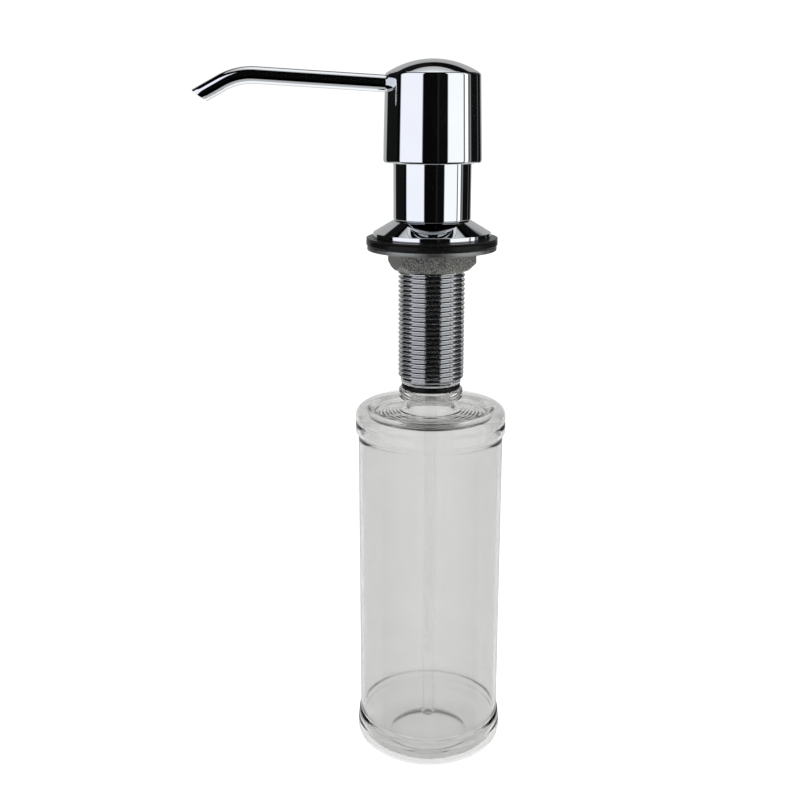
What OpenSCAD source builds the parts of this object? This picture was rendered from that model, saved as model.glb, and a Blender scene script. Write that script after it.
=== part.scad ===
// Deck-mounted soap dispenser: press head with a bent spout, a sliding collar, a deck flange clamped by a
// nut on a threaded shank, a lift-out pump and a clear bottle that screws on from below the deck.
// Millimetres. The origin is on the shank's axis at the deck's upper face, +Z is up, the spout points to -X.

/* [Head] */
// How far the head's lower rim stands out from the collar
head_step = 3.75; // [2.5:0.05:6]
// How much narrower the head is at the shoulder of its crown
head_taper = 0.8; // [0:0.1:1.5]
// Height of the head from its lower rim to the shoulder of its crown
head_h = 31.7; // [30:0.1:40]
// Height of the domed crown above its shoulder
crown_h = 5.3; // [3:0.1:7]
// Wall of the head's shell
head_wall = 1.3; // [0.8:0.1:1.8]
// How far the head covers the collar at rest
head_overlap = 1.4; // [0.5:0.1:3]
// Travel of the head when it is pressed
stroke = 14; // [8:0.5:17]

/* [Spout] */
// Outer diameter of the spout tube
spout_d = 6.2; // [5:0.1:7]
// Wall of the spout tube
spout_wall = 0.8; // [0.5:0.1:1.2]
// Distance from the head's axis to the start of the spout's bend
spout_reach = 65; // [40:0.5:90]
// Angle at which the straight part of the spout rises
spout_rise = 3.6; // [0:0.1:6]
// Centre-line radius of the spout's bend
spout_bend_r = 24; // [12:0.5:40]
// Angle through which the spout bends down
spout_bend = 31.8; // [10:0.1:70]
// Straight length beyond the bend, on the tube's axis
spout_tip = 9.3; // [4:0.1:20]
// Angle of the cut across the spout's mouth
spout_cut = 25; // [0:1:35]
// Depth of the spout's axis below the crown's shoulder, at the head's axis
spout_drop = 4.6; // [4.2:0.1:6]

/* [Collar and flange] */
// Height of the collar above the flange
collar_h = 22.95; // [18:0.05:30]
// Wall of the collar
collar_wall = 2.75; // [1.6:0.05:4]
// Rounding of the collar's lower edge
collar_round = 1; // [0.2:0.1:1.4]
// Width of the flange's slope, seen from above
flange_w = 7; // [4:0.1:12]
// Width of the flat seat that shows round the collar
flange_seat = 0.65; // [0.5:0.05:2]
// Height of the deck flange
flange_h = 6.25; // [3:0.05:9]
// Height of the flange's upright rim
flange_rim = 1.8; // [0.6:0.1:2.4]

/* [Gaskets and washers] */
// How far the rubber gaskets stand out from the flange
gasket_margin = 2.65; // [0.5:0.05:6]
// Thickness of the gasket above the deck
gasket_t = 0.8; // [0.6:0.1:3]
// Thickness of the rubber washer below the deck
lower_t = 2.15; // [1:0.05:4]
// How far the steel clamp washer stays inside the rubber one's edge
clamp_margin = 0.35; // [0.2:0.05:3]
// Thickness of the steel clamp washer
clamp_t = 1.8; // [1:0.1:3]

/* [Shank and nut] */
// Wall of the shank round the bottle's neck, under the thread
shank_wall = 1.1; // [0.8:0.05:3]
// Pitch of the shank's thread, 14 turns to the inch
thread_pitch = 1.814; // [1:0.001:2.5]
// Depth of the shank's thread
thread_depth = 1.1; // [0.6:0.05:1.2]
// Length of the shank below the deck
shank_drop = 56.2; // [40:0.1:75]
// Plain bevelled stretch at the shank's lower end
shank_plain = 1.9; // [1:0.1:4]
// Height of the shank's spigot inside the collar
spigot_h = 7; // [4:0.1:9]
// Wall of the nut at its flats
nut_wall = 2.1; // [1.5:0.1:6]
// Height of the nut
nut_h = 7.4; // [5:0.1:12]
// Angle of the nut about the axis at rest
nut_angle = -13.9; // [-30:0.1:30]

/* [Bottle] */
// Radius of the bottle's body
bottle_r = 28.58; // [24:0.02:36]
// Height of the bottle from its foot to the crown of its shoulder
bottle_h = 146.3; // [110:0.1:190]
// Wall of the bottle
bottle_wall = 1.2; // [0.8:0.1:1.6]
// Height by which the bottle's floor is pushed up in the middle
push_up = 5.5; // [2:0.1:9]
// How far the beads at both ends stand out from the body
bead = 1.05; // [0.4:0.05:2]
// Wall of the bottle's neck over its thread
neck_wall = 2; // [1.6:0.05:3]
// Depth of the neck's thread
neck_thread = 0.7; // [0.3:0.1:0.9]
// Lead of the neck's thread
neck_pitch = 3; // [2:0.1:4.5]
// Height of the neck above its stop flange
neck_h = 15; // [10:0.1:20]
// Gap between the pump cylinder and the neck's bore
neck_gap = 1.4; // [0.6:0.1:3]
// How far the neck's stop flange stands out from its thread
stop_lip = 2.15; // [1.5:0.05:4]
// Thickness of the neck's stop flange
stop_t = 4; // [2:0.1:6]
// Drop from the underside of the stop flange to the shoulder's crown
crown_drop = 3.05; // [2.5:0.05:6]
// How far the seal ring stays inside the stop flange's edge
seal_margin = 0.95; // [0.3:0.05:1.2]
// Thickness of the seal ring
seal_t = 1.8; // [1:0.1:3]

/* [Pump] */
// Thickness of the gasket under the pump's cap
cap_gasket_t = 1; // [0.6:0.1:2]
// Thickness of the pump cap's flange
cap_flange_t = 1.4; // [1:0.1:2]
// Wall of the pump cap round the cylinder's flange
cap_wall = 2.6; // [1.5:0.1:4]
// Depth of the pump cap inside the collar
cap_depth = 13; // [9:0.5:14]
// Outer radius of the pump cylinder
cylinder_r = 6.9; // [6.2:0.05:8.5]
// Wall of the pump cylinder
cylinder_wall = 1.2; // [0.8:0.05:1.5]
// How far the cylinder's flange stands out from it
cylinder_lip = 2.1; // [1:0.1:3]
// Outer radius of the pump's stem
stem_r = 3.2; // [2.8:0.05:3.9]
// Wall of the pump's stem
stem_wall = 1.4; // [0.8:0.05:1.5]
// Length of the piston
piston_h = 11.5; // [10.5:0.1:14]
// Length of the return spring at rest
spring_h = 32.5; // [27:0.5:45]
// Wire thickness of the return spring
spring_wire = 1; // [0.6:0.1:1.2]
// Radius of the valve ball at the pump's inlet
inlet_ball_r = 2.4; // [2:0.05:2.6]
// Radius of the valve ball in the piston
outlet_ball_r = 1.9; // [1.85:0.05:2]
// Outer radius of the dip tube
dip_r = 3; // [2.4:0.05:3.6]
// Wall of the dip tube
dip_wall = 0.9; // [0.5:0.05:1]
// Gap between the dip tube's lower end and the bottle's floor
dip_gap = 4; // [2:0.5:10]

/* [Fits] */
// Radial clearance where one piece turns or slides in another
running = 0.05; // [0.02:0.01:0.1]
// Radial clearance between the shank's thread and the nut
thread_play = 0.1; // [0.05:0.01:0.1]
// Gap between pieces that pass each other without touching
passing = 0.3; // [0.25:0.05:0.6]

/* [Hidden] */
$fn = 96;
eps = 0.01;

// Radii, worked outwards from the pump cylinder
cylinder_flange_r = cylinder_r + cylinder_lip;
shank_bore_r = cylinder_flange_r + passing;
neck_bore_r = cylinder_r + neck_gap;
neck_r = neck_bore_r + neck_wall;
socket_r = neck_r + passing;
root_r = socket_r + shank_wall;
thread_r = root_r + thread_depth;
nut_af = 2 * (thread_r + thread_play + nut_wall);
collar_bore_r = cylinder_flange_r + cap_wall + passing;
collar_r = collar_bore_r + collar_wall;
head_r = collar_r + head_step;
flange_seat_r = collar_r + flange_seat;
flange_r = flange_seat_r + flange_w;
gasket_r = flange_r + gasket_margin;
clamp_r = gasket_r - clamp_margin;
stop_r = neck_r + stop_lip;
seal_r = stop_r - seal_margin;

// Heights above the deck, from the flange up to the head
flange_top = gasket_t + flange_h;
collar_top = flange_top + collar_h;
head_bottom = collar_top - head_overlap;
crown_edge = head_bottom + head_h;
crown_edge_r = head_r - head_taper;
crown_r = (pow(crown_edge_r, 2) + pow(crown_h, 2)) / (2 * crown_h);
crown_centre = crown_edge + crown_h - crown_r;
cap_bottom = collar_top + cap_gasket_t;
cap_top = cap_bottom + cap_flange_t;

// Pump, worked downwards from the cap
guide_nose = 0.6;
guide_plug = 3;
stop_gap = 0.4;
cylinder_flange_t = 1.4;
cylinder_bore_r = cylinder_r - cylinder_wall;
cap_ceiling = cap_top - 5;
guide_top = cap_top + guide_nose;
guide_r = cylinder_bore_r + 0.8;
guide_bottom = cap_ceiling - guide_plug;
piston_top = guide_bottom - stop_gap;
piston_bottom = piston_top - piston_h;
piston_r = cylinder_bore_r - running;
lip_h = 1.5;
lip_groove = 0.45;
stem_seat = piston_top - 5.8;
outlet_hole_r = 1.1;
outlet_seat = piston_bottom + 1.1;
outlet_pocket_r = outlet_ball_r + 0.5;
outlet_ball_z = outlet_seat + sqrt(pow(outlet_ball_r, 2) - pow(outlet_hole_r, 2)) + eps;
spring_seat = piston_bottom - spring_h;
spring_r = cylinder_bore_r - 0.9;
inlet_hole_r = 1.5;
inlet_pocket_r = inlet_ball_r + 0.4;
inlet_seat = spring_seat - inlet_ball_r * 2 - 0.2;
inlet_ball_z = inlet_seat + sqrt(pow(inlet_ball_r, 2) - pow(inlet_hole_r, 2)) + eps;
dip_top = inlet_seat - 2;
spigot_r = dip_r + 1.4;
cylinder_bottom = dip_top - 7;

// Head insert, which must stop short of the pump cap at full stroke
core_gap = 1;
core_bottom = guide_top + stroke + core_gap;
core_r = crown_edge_r - head_wall - 0.1;
core_shoulder = crown_edge - 1.5;
core_top = crown_edge + 0.7;
core_top_r = core_r - 4;
spout_r = spout_d / 2;
spout_bore_r = spout_r - spout_wall;
drawn = 0.02;
spout_start = 7;
spout_z = crown_edge - spout_drop;
stem_top = spout_z - 1.7;
ring_cord = 1.5;
ring_at = 11.6;

// Shank, collar and what is clamped under the deck
nut_top = -lower_t - clamp_t;
nut_corner_r = nut_af / 2 / cos(30);
shank_bottom = -shank_drop;
thread_bottom = shank_bottom + shank_plain;
thread_turns = floor((gasket_t - thread_bottom) / thread_pitch);
seal_bore_r = neck_r + 0.2;

// Bottle, worked downwards from the seal ring
stop_top = shank_bottom - seal_t;
neck_top = stop_top + neck_h;
socket_top = neck_top + 1;
stop_bottom = stop_top - stop_t;
crown_z = stop_bottom - crown_drop;
foot_z = crown_z - bottle_h;
bead_r = bottle_r + bead;
waist_r = neck_bore_r + 1;
recess_in = waist_r + 1.9;
recess_out = bead_r - 6.9;
step_1 = recess_in + (recess_out - recess_in) * 0.22;
step_2 = recess_in + (recess_out - recess_in) * 0.78;
floor_z = foot_z + push_up + bottle_wall;

// Points on an ellipse's arc about [r, z], from angle a to angle b
function arc(r, z, rr, rz, a, b, n = 10) =
    [for (i = [0:n]) [r + rr * cos(a + (b - a) * i / n), z + rz * sin(a + (b - a) * i / n)]];

// A point list in reverse order
function reversed(p) = [for (i = [len(p) - 1:-1:0]) p[i]];

// Flat ring between two heights with rounded outer edges
module ring(outer, inner, low, high, round = 0.4) {
    rotate_extrude()
        polygon(concat([[inner, low]], arc(outer - round, low + round, round, round, -90, 0, 5),
            arc(outer - round, high - round, round, round, 0, 90, 5), [[inner, high]]));
}

// Tube between two heights
module tube(outer, inner, low, high) {
    difference() {
        translate([0, 0, low]) cylinder(r = outer, h = high - low);
        translate([0, 0, low - 1]) cylinder(r = inner, h = high - low + 2);
    }
}

// Places children on the spout's axis, with their Z along it and their origin at the head's axis
module on_spout() {
    translate([0, 0, spout_z]) rotate([0, -(90 - spout_rise), 0]) children();
}

// Places children at the end of the spout's bend, with their Z along the tube's last stretch
module after_bend() {
    on_spout() translate([-spout_bend_r, 0, spout_reach]) rotate([0, -spout_bend, 0])
        translate([spout_bend_r, 0, 0]) children();
}

module head_shell() {
    color("silver") difference() {
        rotate_extrude()
            polygon(concat([[0, head_bottom + head_h / 2]],
                [[head_r - head_wall - 1, head_bottom + head_h / 2], [head_r - head_wall, head_bottom]],
                arc(head_r - 0.3, head_bottom + 0.3, 0.3, 0.3, -90, 0, 4),
                arc(crown_edge_r - 0.8, crown_edge - 0.8, 0.8, 0.8, 0, 50, 5),
                arc(0, crown_centre, crown_r, crown_r, acos((crown_edge_r - 1.2) / crown_r), 90, 16)));
        rotate_extrude()
            polygon([[0, head_bottom - 1], [head_r - head_wall, head_bottom - 1],
                [head_r - head_wall, head_bottom], [core_r, core_bottom - 1], [0, core_bottom - 1]]);
        rotate_extrude() intersection() {
            translate([0, head_bottom]) square([core_r, head_h * 2]);
            translate([0, crown_centre]) circle(r = crown_r - head_wall);
        }
        on_spout() cylinder(r = spout_r + 0.05, h = head_r * 2);
    }
}

module head_core() {
    color("whitesmoke") difference() {
        rotate_extrude()
            polygon([[0, core_bottom], [core_r, core_bottom], [core_r, core_shoulder],
                [core_top_r, core_top], [0, core_top]]);
        translate([0, 0, core_bottom - 1]) cylinder(r = stem_r + running, h = stem_top - core_bottom + 1.2);
        translate([0, 0, stem_top]) cylinder(r = stem_r - stem_wall, h = spout_z - stem_top);
        on_spout() cylinder(r = spout_bore_r - 0.3, h = head_r);
        on_spout() translate([0, 0, spout_start]) cylinder(r = spout_r, h = head_r);
        on_spout() translate([0, 0, ring_at - ring_cord * 0.6])
            cylinder(r = spout_r + ring_cord, h = ring_cord * 1.2);
    }
}

// The stretch beyond the bend is drawn a little thinner in the wall, so it seats inside the bend's end
module spout_tube() {
    color("silver") {
        on_spout() tube(spout_r, spout_bore_r, spout_start, spout_reach);
        on_spout() translate([-spout_bend_r, 0, spout_reach]) rotate([90, 0, 0])
            rotate_extrude(angle = spout_bend) translate([spout_bend_r, 0]) difference() {
                circle(r = spout_r);
                circle(r = spout_bore_r);
            }
        after_bend() difference() {
            tube(spout_r - drawn, spout_bore_r + drawn, -0.3, spout_tip + spout_d);
            translate([0, 0, spout_tip]) rotate([0, -spout_cut, 0]) translate([-20, -20, 0])
                cube([40, 40, 30]);
        }
    }
}

module spout_seal() {
    color("dimgray") on_spout() translate([0, 0, ring_at]) rotate_extrude()
        translate([spout_r + ring_cord / 2, 0]) circle(r = ring_cord / 2);
}

module pump_stem() {
    color("whitesmoke") tube(stem_r, stem_r - stem_wall, stem_seat, stem_top);
}

module piston() {
    color("whitesmoke") difference() {
        rotate_extrude()
            polygon([[0, piston_bottom], [piston_r, piston_bottom], [piston_r, piston_bottom + lip_h],
                [piston_r - lip_groove, piston_bottom + lip_h + 0.3],
                [piston_r - lip_groove, piston_bottom + lip_h * 2 - 0.3],
                [piston_r, piston_bottom + lip_h * 2], [piston_r, piston_bottom + lip_h * 3],
                [stem_r + 1.1, piston_bottom + lip_h * 3 + 1], [stem_r + 1.1, piston_top], [0, piston_top]]);
        translate([0, 0, piston_bottom - 1]) cylinder(r = outlet_hole_r, h = 4);
        translate([0, 0, outlet_seat]) cylinder(r = outlet_pocket_r, h = stem_seat - outlet_seat + eps);
        translate([0, 0, stem_seat]) cylinder(r = stem_r, h = piston_top - stem_seat + 1);
    }
}

module outlet_ball() {
    color("lightsteelblue") translate([0, 0, outlet_ball_z]) sphere(r = outlet_ball_r);
}

module pump_cap() {
    color("dimgray") difference() {
        union() {
            ring(collar_r - 0.45, guide_r, cap_bottom, cap_top, 0.3);
            translate([0, 0, collar_top - cap_depth])
                cylinder(r = collar_bore_r - passing, h = cap_depth + cap_gasket_t + eps);
        }
        translate([0, 0, collar_top - cap_depth - 1])
            cylinder(r = cylinder_flange_r, h = cap_ceiling - collar_top + cap_depth + 1);
        cylinder(r = guide_r, h = cap_top + 1);
    }
}

module pump_guide() {
    color("whitesmoke") difference() {
        union() {
            translate([0, 0, guide_bottom]) cylinder(r = cylinder_bore_r, h = guide_plug + eps);
            translate([0, 0, cap_ceiling]) cylinder(r = guide_r, h = guide_top - cap_ceiling);
        }
        translate([0, 0, guide_bottom - 1]) cylinder(r = stem_r + running, h = guide_top - guide_bottom + 2);
    }
}

module cap_gasket() {
    color("white") tube(collar_r - 0.6, collar_bore_r - passing, collar_top, cap_bottom);
}

module pump_cylinder() {
    color("whitesmoke") difference() {
        union() {
            translate([0, 0, cap_ceiling - cylinder_flange_t])
                cylinder(r = cylinder_flange_r, h = cylinder_flange_t);
            rotate_extrude()
                polygon([[0, cylinder_bottom], [spigot_r - 0.4, cylinder_bottom],
                    [spigot_r, cylinder_bottom + 0.4], [spigot_r, inlet_seat - 1],
                    [cylinder_r, spring_seat - 1.5], [cylinder_r, cap_ceiling - 0.5], [0, cap_ceiling - 0.5]]);
        }
        translate([0, 0, spring_seat]) cylinder(r = cylinder_bore_r, h = cap_ceiling - spring_seat + 1);
        translate([0, 0, inlet_seat]) cylinder(r = inlet_pocket_r, h = spring_seat - inlet_seat + 1);
        translate([0, 0, dip_top - 1]) cylinder(r = inlet_hole_r, h = inlet_seat - dip_top + 2);
        translate([0, 0, cylinder_bottom - 1]) cylinder(r = dip_r, h = dip_top - cylinder_bottom + 1);
    }
}

module return_spring() {
    color("gray") tube(spring_r, spring_r - spring_wire, spring_seat, piston_bottom);
}

module inlet_ball() {
    color("lightsteelblue") translate([0, 0, inlet_ball_z]) sphere(r = inlet_ball_r);
}

module dip_tube() {
    color("gainsboro") tube(dip_r, dip_r - dip_wall, floor_z + dip_gap, dip_top);
}

module collar_sleeve() {
    color("silver") rotate_extrude()
        polygon(concat([[collar_bore_r, flange_top]],
            arc(collar_r - collar_round, flange_top + collar_round, collar_round, collar_round, -90, 0, 8),
            arc(collar_r - 0.3, collar_top - 0.3, 0.3, 0.3, 0, 90, 4), [[collar_bore_r, collar_top]]));
}

module deck_flange() {
    rim = gasket_t + flange_rim;
    color("silver") rotate_extrude()
        polygon(concat([[collar_bore_r, gasket_t]], arc(flange_r - 0.3, gasket_t + 0.3, 0.3, 0.3, -90, 0, 4),
            arc(flange_r - 0.6, rim - 0.3, 0.6, 0.6, 0, 58, 6),
            arc(flange_seat_r - 0.4, flange_top - 0.4, 0.4, 0.4, 58, 90, 4), [[collar_bore_r, flange_top]]));
}

module threaded_shank() {
    flat = thread_pitch / 8;
    color("lightgray") difference() {
        union() {
            translate([0, 0, shank_bottom + 0.6]) cylinder(r = root_r, h = gasket_t - shank_bottom - 0.6);
            translate([0, 0, shank_bottom]) cylinder(r1 = root_r - 0.6, r2 = root_r, h = 0.6 + eps);
            translate([0, 0, gasket_t - eps]) cylinder(r = collar_bore_r, h = flange_h + spigot_h);
            rotate_extrude() for (i = [0:thread_turns - 1])
                translate([0, thread_bottom + i * thread_pitch])
                    polygon([[root_r - 0.3, 0], [root_r, flat], [thread_r, thread_pitch / 2 - flat],
                        [thread_r, thread_pitch / 2 + flat], [root_r, thread_pitch - flat],
                        [root_r - 0.3, thread_pitch]]);
        }
        translate([0, 0, shank_bottom - 1])
            cylinder(r = shank_bore_r, h = flange_top + spigot_h - shank_bottom + 2);
        translate([0, 0, shank_bottom - 1]) cylinder(r = socket_r, h = socket_top - shank_bottom + 1);
    }
}

module deck_gasket() {
    color([0.08, 0.08, 0.09]) ring(gasket_r, thread_r + 0.2, 0, gasket_t);
}

module lower_washer() {
    color([0.1, 0.1, 0.11]) ring(gasket_r, thread_r + passing, -lower_t, 0, 0.5);
}

module clamp_washer() {
    color("gray") ring(clamp_r, thread_r + passing, nut_top, -lower_t, 0.5);
}

module mounting_nut() {
    bevel = nut_corner_r - nut_af / 2;
    color("darkgray") difference() {
        intersection() {
            translate([0, 0, nut_top - nut_h]) rotate([0, 0, nut_angle])
                cylinder(r = nut_corner_r, h = nut_h, $fn = 6);
            rotate_extrude()
                polygon([[0, nut_top - nut_h], [nut_af / 2 - 0.4, nut_top - nut_h],
                    [nut_corner_r + 0.1, nut_top - nut_h + bevel + 0.5],
                    [nut_corner_r + 0.1, nut_top - 0.5], [nut_corner_r - 0.7, nut_top], [0, nut_top]]);
        }
        translate([0, 0, nut_top - nut_h - 1]) cylinder(r = thread_r + thread_play, h = nut_h + 2);
    }
}

module bottle_seal() {
    color([0.06, 0.06, 0.06]) ring(seal_r, seal_bore_r, stop_top, shank_bottom, 0.5);
}

// Outer outline of the bottle, from the neck's mouth down to the middle of its floor
function bottle_outside() = concat(
    [[neck_bore_r, neck_top], [neck_r - neck_thread, neck_top]],
    [for (i = [0:floor((neck_h - 3) / neck_pitch) - 1], p = [[0, 0.5], [1, 0.85], [1, 1.15], [0, 1.5]])
        [neck_r - neck_thread + neck_thread * p[0], neck_top - neck_pitch * (i + p[1])]],
    [[neck_r - neck_thread, stop_top]],
    arc(stop_r - 0.6, stop_top - 0.6, 0.6, 0.6, 90, 0, 5),
    arc(stop_r - 0.6, stop_bottom + 0.6, 0.6, 0.6, 0, -90, 5),
    [[waist_r, stop_bottom - 0.3]],
    arc(waist_r + 1.9, crown_z, 1.9, 1.7, 180, 270, 8),
    [[step_1, crown_z - 1.8], [step_1 + 0.3, crown_z - 2.5]],
    [[step_2, crown_z - 2.6], [step_2 + 0.3, crown_z - 3.2], [recess_out, crown_z - 3.3]],
    arc(bead_r - 4.1, crown_z - 2, 2, 2, 180, 90, 10),
    arc(bead_r - 4.1, crown_z - 4.3, 4.1, 4.3, 90, 0, 14),
    [[bead_r, crown_z - 5.4], [bead_r - 0.25, crown_z - 6.2], [bead_r, crown_z - 7]],
    arc(bead_r - 1, crown_z - 10, 1, 1, 0, -60, 6),
    [[bottle_r, crown_z - 12], [bottle_r, foot_z + 15]],
    arc(bottle_r + bead * 0.7 - 0.8, foot_z + 13.2, 0.8, 1.2, 60, -40, 6),
    arc(bead_r + 0.1 - 1, foot_z + 9.6, 1, 1.4, 40, 0, 4),
    arc(bead_r + 0.1 - 8.5, foot_z + 6.9, 8.5, 6.9, 0, -90, 18),
    [[bottle_r - 11.5, foot_z]],
    arc(0, foot_z, bottle_r - 12, push_up, 0, 90, 12));

// Inner outline of the bottle, in the same order
function bottle_inside() = concat(
    [[neck_bore_r, stop_bottom - 0.5]],
    arc(neck_bore_r + 2.6, crown_z - 0.4, 2.6, 2.6, 180, 270, 8),
    [[step_1 - 0.6, crown_z - 3], [step_1 - 0.3, crown_z - 3.6]],
    [[step_2 - 0.5, crown_z - 3.8], [step_2 - 0.2, crown_z - 4.4], [recess_out + 0.7, crown_z - 4.6]],
    arc(bead_r - 3.7, crown_z - 3.7, 1.7, 2.2, 180, 90, 8),
    arc(bead_r - 3.9, crown_z - 4.4, 3.9 - bottle_wall, 2.9, 80, 0, 10),
    [[bead_r - bottle_wall, crown_z - 10], [bottle_r - bottle_wall, crown_z - 12]],
    [[bottle_r - bottle_wall, foot_z + 9]],
    arc(bottle_r - bottle_wall - 7, foot_z + bottle_wall + 7, 7, 7, 0, -90, 14),
    [[bottle_r - 11.5, foot_z + bottle_wall]],
    arc(0, foot_z + bottle_wall, bottle_r - 12, push_up, 0, 90, 12));

module bottle() {
    color([0.85, 0.88, 0.87, 0.5]) rotate_extrude()
        polygon(concat(bottle_outside(), reversed(bottle_inside())));
}

head_shell();
head_core();
spout_tube();
spout_seal();
pump_stem();
piston();
outlet_ball();
pump_cap();
pump_guide();
cap_gasket();
pump_cylinder();
return_spring();
inlet_ball();
dip_tube();
collar_sleeve();
deck_flange();
threaded_shank();
deck_gasket();
lower_washer();
clamp_washer();
mounting_nut();
bottle_seal();
bottle();
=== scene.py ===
"""Visual model of a deck mounted soap dispenser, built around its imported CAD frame."""

import math

import bmesh
import bpy
from bpy.props import FloatProperty, FloatVectorProperty, IntProperty, PointerProperty
from bpy.types import Operator, Panel, PropertyGroup
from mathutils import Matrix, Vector


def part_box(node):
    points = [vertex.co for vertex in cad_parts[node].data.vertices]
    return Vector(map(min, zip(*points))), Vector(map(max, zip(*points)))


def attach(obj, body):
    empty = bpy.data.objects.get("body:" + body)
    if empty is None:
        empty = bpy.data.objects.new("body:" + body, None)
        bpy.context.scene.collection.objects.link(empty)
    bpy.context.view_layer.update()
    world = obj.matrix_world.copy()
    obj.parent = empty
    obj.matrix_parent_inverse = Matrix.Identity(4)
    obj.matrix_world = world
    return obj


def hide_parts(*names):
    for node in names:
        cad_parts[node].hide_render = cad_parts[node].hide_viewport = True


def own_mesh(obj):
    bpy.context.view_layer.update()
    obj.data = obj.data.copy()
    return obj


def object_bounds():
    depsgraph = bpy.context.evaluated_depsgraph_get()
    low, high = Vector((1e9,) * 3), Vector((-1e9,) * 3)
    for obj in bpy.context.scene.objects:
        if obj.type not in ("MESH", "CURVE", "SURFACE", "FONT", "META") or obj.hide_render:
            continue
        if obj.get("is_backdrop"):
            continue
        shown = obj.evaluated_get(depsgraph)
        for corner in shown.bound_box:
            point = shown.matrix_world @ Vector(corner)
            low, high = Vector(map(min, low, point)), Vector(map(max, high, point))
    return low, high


bl_info = {
    "name": "Deck Soap Dispenser",
    "version": (1, 0, 0),
    "blender": (4, 5, 0),
    "location": "3D View > Sidebar > Dispenser",
    "description": "Builds the looks of a deck mounted soap dispenser around its CAD frame",
    "category": "Object",
}

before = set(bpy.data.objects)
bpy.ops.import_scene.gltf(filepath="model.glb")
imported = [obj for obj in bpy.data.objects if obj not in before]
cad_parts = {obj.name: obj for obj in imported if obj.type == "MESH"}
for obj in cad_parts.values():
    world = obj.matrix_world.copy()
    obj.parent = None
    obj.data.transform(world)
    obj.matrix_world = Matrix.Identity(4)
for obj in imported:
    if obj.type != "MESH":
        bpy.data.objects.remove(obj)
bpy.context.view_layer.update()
MM = 0.001
# Facets round most pieces, and round the polished ones, where a reflection shows every flat.
STEPS = 160
FINE_STEPS = 256


def hex_colour(text):
    """Linear red, green, blue and alpha of an sRGB hex value."""
    channels = [int(text[i : i + 2], 16) / 255 for i in (0, 2, 4)]
    linear = [c / 12.92 if c <= 0.04045 else ((c + 0.055) / 1.055) ** 2.4 for c in channels]
    return (*linear, 1.0)


def length(name, text, value, low=0.0):
    """A size in metres whose default is given in millimetres."""
    return FloatProperty(
        name=name, description=text, default=value * MM, min=low, unit="LENGTH", precision=5
    )


def angle(name, text, value):
    """An angle whose default is given in degrees."""
    return FloatProperty(name=name, description=text, default=math.radians(value), subtype="ANGLE")


def colour(name, text, value):
    """A colour whose default is an sRGB hex value."""
    return FloatVectorProperty(
        name=name, description=text, default=hex_colour(value), size=4, subtype="COLOR",
        min=0, max=1,
    )


# ---------------------------------------------------------------- sizes and colours


class HeadSizes(PropertyGroup):
    crown: length("Crown height", "How far the domed crown rises over its edge", 5.3)
    taper: length("Taper", "How much narrower the head is at the crown's edge", 0.8)
    wall: length("Wall", "Thickness of the drawn shell", 1.3)
    edge: length("Crown edge", "Radius of the edge between side and crown", 1.3)
    hem: length("Hem", "Height of the rounded lower edge", 1.2)
    lip: length("Lip", "Thickness of the lip that guides the head on the collar", 1.6)
    play: length("Play", "Gap between that lip and the collar", 0.35)


class SpoutSizes(PropertyGroup):
    diameter: length("Diameter", "Outer diameter of the tube", 6.2)
    wall: length("Wall", "Thickness of the tube", 0.8)
    start: length("Start", "Distance from the head's axis to the tube's hidden end", 7)
    drop: length("Drop", "Height of the crown's edge over the tube's axis", 4.6)
    reach: length("Reach", "Length of the straight stretch, from the head's axis", 65)
    rise: angle("Rise", "Slope of the straight stretch", 3.6)
    bend_radius: length("Bend radius", "Radius of the bend's centreline", 24)
    bend: angle("Bend", "How far the tube is bent down", 31.8)
    tip: length("Tip", "Length beyond the bend", 9.3)
    cut: angle("Mouth cut", "Slant of the mouth", 25)


class DeckSizes(PropertyGroup):
    bore: length("Collar bore", "Radius inside the collar", 11.9)
    collar_edge: length("Collar edge", "Radius of the collar's lower edge", 1.0)
    seat: length("Flange seat", "How much wider the flange's top is than the collar", 0.65)
    rim: length("Flange rim", "Height of the flange's upright rim", 1.8)
    rim_edge: length("Rim edge", "Radius of the edge between rim and slope", 0.4)
    hole: length("Gasket hole", "Radius of the gaskets' and washer's hole", 13.0)


class ShankSizes(PropertyGroup):
    pitch: length("Pitch", "Pitch of the shank's thread", 1.814)
    depth: length("Thread depth", "Depth of the shank's thread", 1.1)
    bore: length("Bore", "Radius of the way through the shank", 9.3)
    socket: length("Socket", "Radius of the bottle's socket", 10.6)
    socket_depth: length("Socket depth", "Depth of the bottle's socket", 14.2)
    plain: length("Plain end", "Length of the bevelled end below the thread", 1.9)
    across: length("Across flats", "Width of the nut over its flats", 30)
    corner: length("Nut corner", "Radius of the circle that bevels the nut's corners", 16.4)
    turned: angle("Nut turned", "How far the nut's corner is turned from the side", -13.9)


class BottleSizes(PropertyGroup):
    body: length("Body", "Radius of the bottle's body", 28.58)
    wall: length("Wall", "Thickness of the blown wall", 1.2)
    neck: length("Neck", "Outer radius of the neck", 10.3)
    neck_wall: length("Neck wall", "Thickness of the neck", 2)
    neck_height: length("Neck height", "Height of the neck over its stop flange", 15)
    thread: length("Neck thread", "Depth of the neck's thread", 0.7)
    pitch: length("Neck pitch", "Pitch of the neck's thread", 3)
    stop: length("Stop flange", "Radius of the stop flange", 12.45)
    stop_height: length("Stop height", "Thickness of the stop flange", 4)
    drop: length("Shoulder drop", "From the stop flange down to the shoulder's crown", 3.05)
    push_up: length("Push-up", "Height of the raised floor", 5.5)
    rings: IntProperty(
        name="Rings", description="Fine rings moulded in the recessed shoulder", default=7, min=0
    )
    seam: length("Seam", "How proud the mould's parting line stands", 0.2)
    seam_turn: angle("Seam turn", "Where the parting line stands, from the front", 4)


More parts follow.
